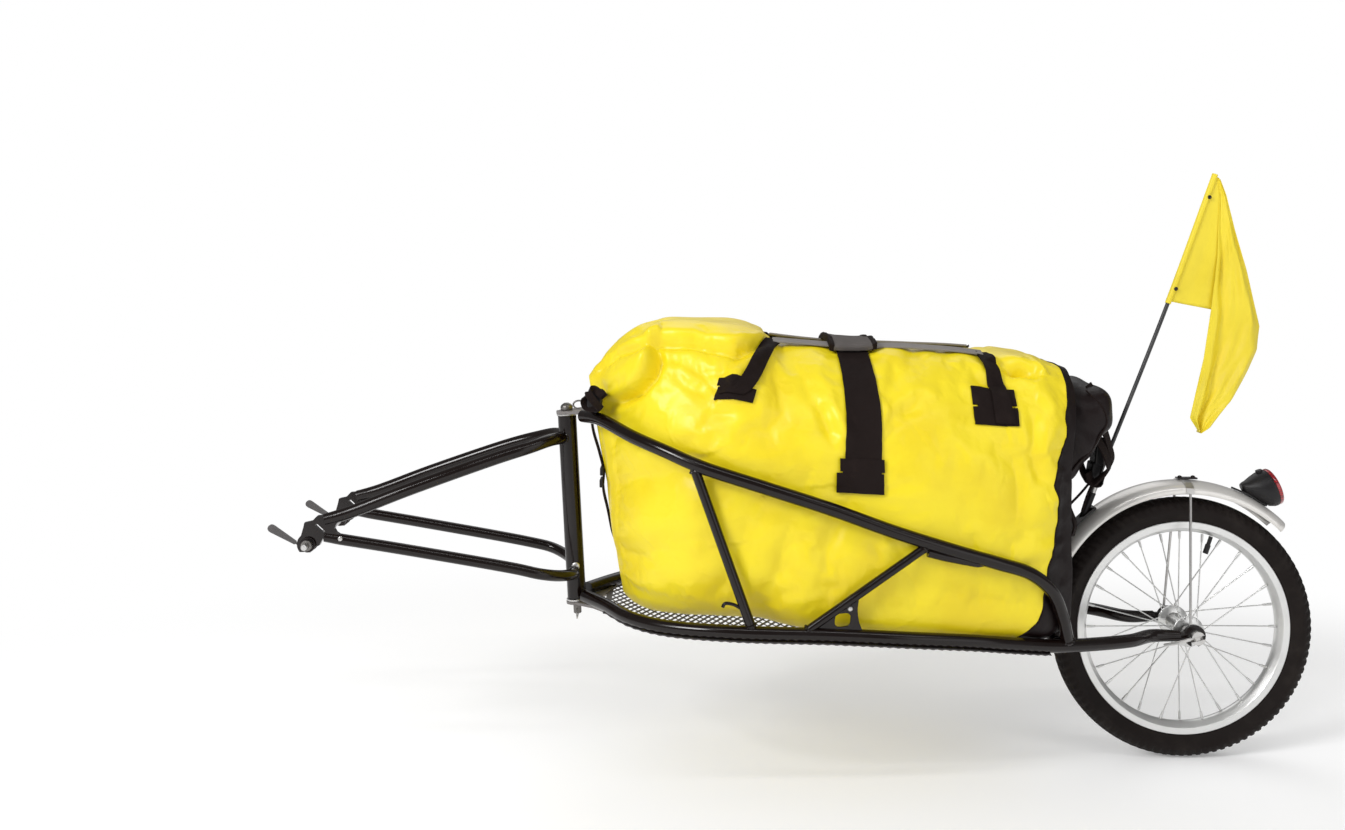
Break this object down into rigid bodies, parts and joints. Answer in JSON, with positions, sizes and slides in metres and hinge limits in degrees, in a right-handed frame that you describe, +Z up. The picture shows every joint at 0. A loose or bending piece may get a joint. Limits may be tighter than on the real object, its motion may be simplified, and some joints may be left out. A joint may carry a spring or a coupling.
{
  "type": "single wheel touring trailer",
  "caption": "Bicycle trailer on one wheel, with a hitch fork, a cargo bay of bent tubes, a mesh floor, a fender, a light, a flag and a dry bag.",
  "frame": {"origin": "centre of the hitch axle, between the two hitch hooks", "axes": "+X back to the trailer's wheel, +Y to the trailer's right side, +Z up"},
  "size_m": [1.5515, 0.4358, 0.883],
  "materials": {
    "black_paint": "gloss black powder coat",
    "plated_steel": "plated steel",
    "bare_alloy": "polished alloy",
    "rubber": "matt rubber",
    "silver_plastic": "satin silver moulded plastic",
    "black_plastic": "satin moulded plastic",
    "red_lens": "clear red moulding",
    "pole_fibre": "satin glass fibre",
    "yellow_fabric": "coated cloth with a soft sheen",
    "black_fabric": "woven webbing"
  },
  "bodies": {
    "fork": {"steer_tube": "black_paint", "bushing_top": "black_plastic", "bushing_bottom": "black_plastic", "fork_leg_upper_left": "black_paint", "fork_leg_upper_right": "black_paint", "fork_leg_lower_left": "black_paint", "fork_leg_lower_right": "black_paint", "hitch_dropout_left": "black_paint", "hitch_dropout_right": "black_paint"},
    "hitch_axle_set": {"hitch_axle": "plated_steel", "hitch_bobbin_left": "plated_steel", "hitch_bobbin_right": "plated_steel", "hitch_nut_left": "plated_steel", "hitch_nut_right": "plated_steel"},
    "pin_left": {"hitch_pin_left": "black_plastic"},
    "pin_right": {"hitch_pin_right": "black_plastic"},
    "frame": {"kingpin": "plated_steel", "kingpin_clip": "plated_steel", "head_plate_top": "black_paint", "head_plate_bottom": "black_paint", "lower_rail_left": "black_paint", "lower_rail_right": "black_paint", "upper_rail_left": "black_paint", "upper_rail_right": "black_paint", "front_strut_left": "black_paint", "front_strut_right": "black_paint", "rear_strut_left": "black_paint", "rear_strut_right": "black_paint", "strut_gusset_left": "black_paint", "strut_gusset_right": "black_paint", "rear_crossbar": "black_paint", "floor_mesh": "black_paint", "rear_dropout_left": "black_paint", "rear_dropout_right": "black_paint", "wheel_axle": "plated_steel", "wheel_axle_nut": "plated_steel", "fender": "silver_plastic", "fender_clip": "plated_steel", "fender_stay_left": "plated_steel", "fender_stay_right": "plated_steel", "fender_bracket": "black_paint", "flag_socket": "black_plastic", "light_bracket": "black_plastic", "light_housing": "black_plastic", "light_lens": "red_lens"},
    "wheel": {"tyre": "rubber", "rim": "bare_alloy", "hub_with_spokes": "bare_alloy", "valve_stem": "black_plastic"},
    "wheel_lever": {"wheel_release_lever": "bare_alloy"},
    "bag": {"bag_body": "yellow_fabric", "bag_end_cap": "black_fabric", "bag_centre_strap": "black_fabric", "bag_front_strap": "black_fabric", "bag_handle_left": "black_fabric", "bag_handle_right": "black_fabric"},
    "flag": {"flag_pole": "pole_fibre", "flag_cloth": "yellow_fabric"},
    "light_switch": {"light_button": "black_plastic"}
  },
  "joints": [
    {"name": "hitch_pitch", "type": "hinge", "parent": "fork", "child": "hitch_axle_set", "pos_m": [0, 0, 0], "axis": [0, 1, 0], "range_deg": [-30, 30]},
    {"name": "pin_slide_left", "type": "slide", "parent": "fork", "child": "pin_left", "axis": [-0.8571, 0, 0.5151], "range_m": [0, 0.02]},
    {"name": "pin_slide_right", "type": "slide", "parent": "fork", "child": "pin_right", "axis": [-0.8571, 0, 0.5151], "range_m": [0, 0.02]},
    {"name": "steering", "type": "hinge", "parent": "fork", "child": "frame", "pos_m": [0.3724, 0, 0.0366], "axis": [-0.0541, 0, 0.9985], "range_deg": [-60, 60]},
    {"name": "wheel_spin", "type": "hinge", "parent": "frame", "child": "wheel", "pos_m": [1.297, 0, -0.145], "axis": [0, 1, 0], "continuous": true},
    {"name": "release_lever", "type": "hinge", "parent": "frame", "child": "wheel_lever", "pos_m": [1.297, -0.0618, -0.145], "axis": [-0.2251, 0, 0.9743], "range_deg": [0, 150]},
    {"name": "bag_lift", "type": "slide", "parent": "frame", "child": "bag", "axis": [0, 0, 1], "range_m": [0, 0.3]},
    {"name": "flag_pull", "type": "slide", "parent": "frame", "child": "flag", "axis": [0.3699, 0, 0.9291], "range_m": [0, 0.06]},
    {"name": "light_press", "type": "slide", "parent": "frame", "child": "light_switch", "axis": [0.342, 0, -0.9397], "range_m": [0, 0.0012], "stiffness_N_per_m": 800}
  ]
}
